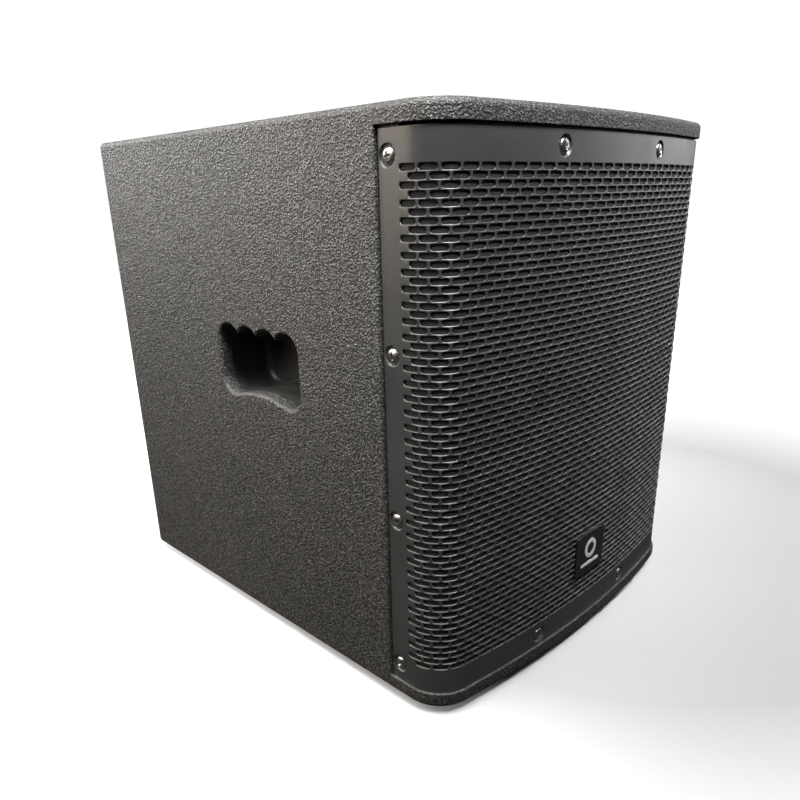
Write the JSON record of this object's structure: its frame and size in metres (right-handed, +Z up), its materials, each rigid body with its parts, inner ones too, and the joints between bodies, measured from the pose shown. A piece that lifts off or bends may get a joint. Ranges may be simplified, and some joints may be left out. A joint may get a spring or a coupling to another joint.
{
  "type": "subwoofer cabinet",
  "caption": "Powered subwoofer box with a bowed slotted steel grille, scalloped side handle pockets, pole socket and rear amplifier plate.",
  "frame": {"origin": "under the middle of the box, level with the undersides of the rubber feet", "axes": "+Z up, -Y out of the grille, +X to the right of someone facing the grille"},
  "size_m": [0.43, 0.53, 0.508],
  "materials": {
    "textured_paint": "plywood under black pebbled texture paint",
    "black_wood": "plywood under flat black paint",
    "bare_wood": "unpainted plywood",
    "black_plastic": "fine satin grain",
    "red_plastic": "satin",
    "black_rubber": "matt",
    "black_metal": "satin black powder coat",
    "grille_paint": "satin black powder coat over pressed sheet steel",
    "acoustic_foam": "open-cell black foam",
    "badge_plastic": "dark gloss plate with a brushed metal device",
    "screw_steel": "zinc-plated steel",
    "bright_metal": "satin metal device on the badge, and contact pins",
    "pale_print": "pale screen print of the dial marks",
    "spider_cloth": "resin-dipped cloth",
    "plated_steel": "zinc-plated steel",
    "ferrite": "dark ceramic",
    "paper_pulp": "black pressed pulp",
    "copper_wire": "enamelled copper",
    "black_aluminium": "black powder coat and anodising",
    "circuit_board": "green solder mask",
    "transformer_winding": "taped copper winding"
  },
  "bodies": {
    "cabinet": {"top_panel": "textured_paint", "bottom_panel": "textured_paint", "left_side_panel": "textured_paint", "right_side_panel": "textured_paint", "top_grille_batten": "black_wood", "bottom_grille_batten": "black_wood", "baffle": "black_wood", "rear_panel": "textured_paint", "cross_brace": "bare_wood", "left_port_tube": "black_plastic", "right_port_tube": "black_plastic", "left_handle_cup": "black_plastic", "right_handle_cup": "black_plastic", "foot_front_left": "black_rubber", "foot_front_right": "black_rubber", "foot_rear_left": "black_rubber", "foot_rear_right": "black_rubber", "pole_socket": "black_metal", "grille": "grille_paint", "grille_foam": "acoustic_foam", "badge": "badge_plastic", "grille_screw_left_1": "screw_steel", "grille_screw_left_2": "screw_steel", "grille_screw_left_3": "screw_steel", "grille_screw_left_4": "screw_steel", "grille_screw_right_1": "screw_steel", "grille_screw_right_2": "screw_steel", "grille_screw_right_3": "screw_steel", "grille_screw_right_4": "screw_steel", "grille_screw_bottom_left": "screw_steel", "grille_screw_bottom_right": "screw_steel", "grille_screw_top_left": "screw_steel", "grille_screw_top_right": "screw_steel", "driver_frame": "black_metal", "driver_gasket": "black_rubber", "surround": "black_rubber", "spider": "spider_cloth", "front_magnet_plate": "plated_steel", "magnet": "ferrite", "yoke": "plated_steel", "amplifier_plate": "black_aluminium", "xlr_input_socket": "black_metal", "xlr_output_socket": "black_metal", "phase_switch_body": "black_plastic", "mains_inlet": "black_plastic", "rocker_housing": "black_plastic", "heatsink": "black_aluminium", "amplifier_board": "circuit_board", "power_transformer": "transformer_winding"},
    "cone_assembly": {"cone": "paper_pulp", "dust_cap": "paper_pulp", "voice_coil": "copper_wire"},
    "gain_control": {"gain_knob": "black_plastic"},
    "crossover_control": {"crossover_knob": "black_plastic"},
    "phase_switch": {"phase_slider": "red_plastic"},
    "power_switch": {"power_rocker": "black_plastic"}
  },
  "joints": [
    {"name": "cone_stroke", "type": "slide", "parent": "cabinet", "child": "cone_assembly", "axis": [0, -1, 0], "range_m": [-0.009, 0.009], "stiffness_N_per_m": 4000, "deforming": ["surround", "spider"]},
    {"name": "gain_turn", "type": "hinge", "parent": "cabinet", "child": "gain_control", "pos_m": [0.008, 0.2509, 0.376], "axis": [0, 1, 0], "range_deg": [-150, 150]},
    {"name": "crossover_turn", "type": "hinge", "parent": "cabinet", "child": "crossover_control", "pos_m": [-0.038, 0.2509, 0.376], "axis": [0, 1, 0], "range_deg": [-150, 150]},
    {"name": "phase_slide", "type": "slide", "parent": "cabinet", "child": "phase_switch", "axis": [1, 0, 0], "range_m": [0, 0.0054]},
    {"name": "power_rock", "type": "hinge", "parent": "cabinet", "child": "power_switch", "pos_m": [0.062, 0.2473, 0.136], "axis": [1, 0, 0], "range_deg": [0, 16]}
  ]
}
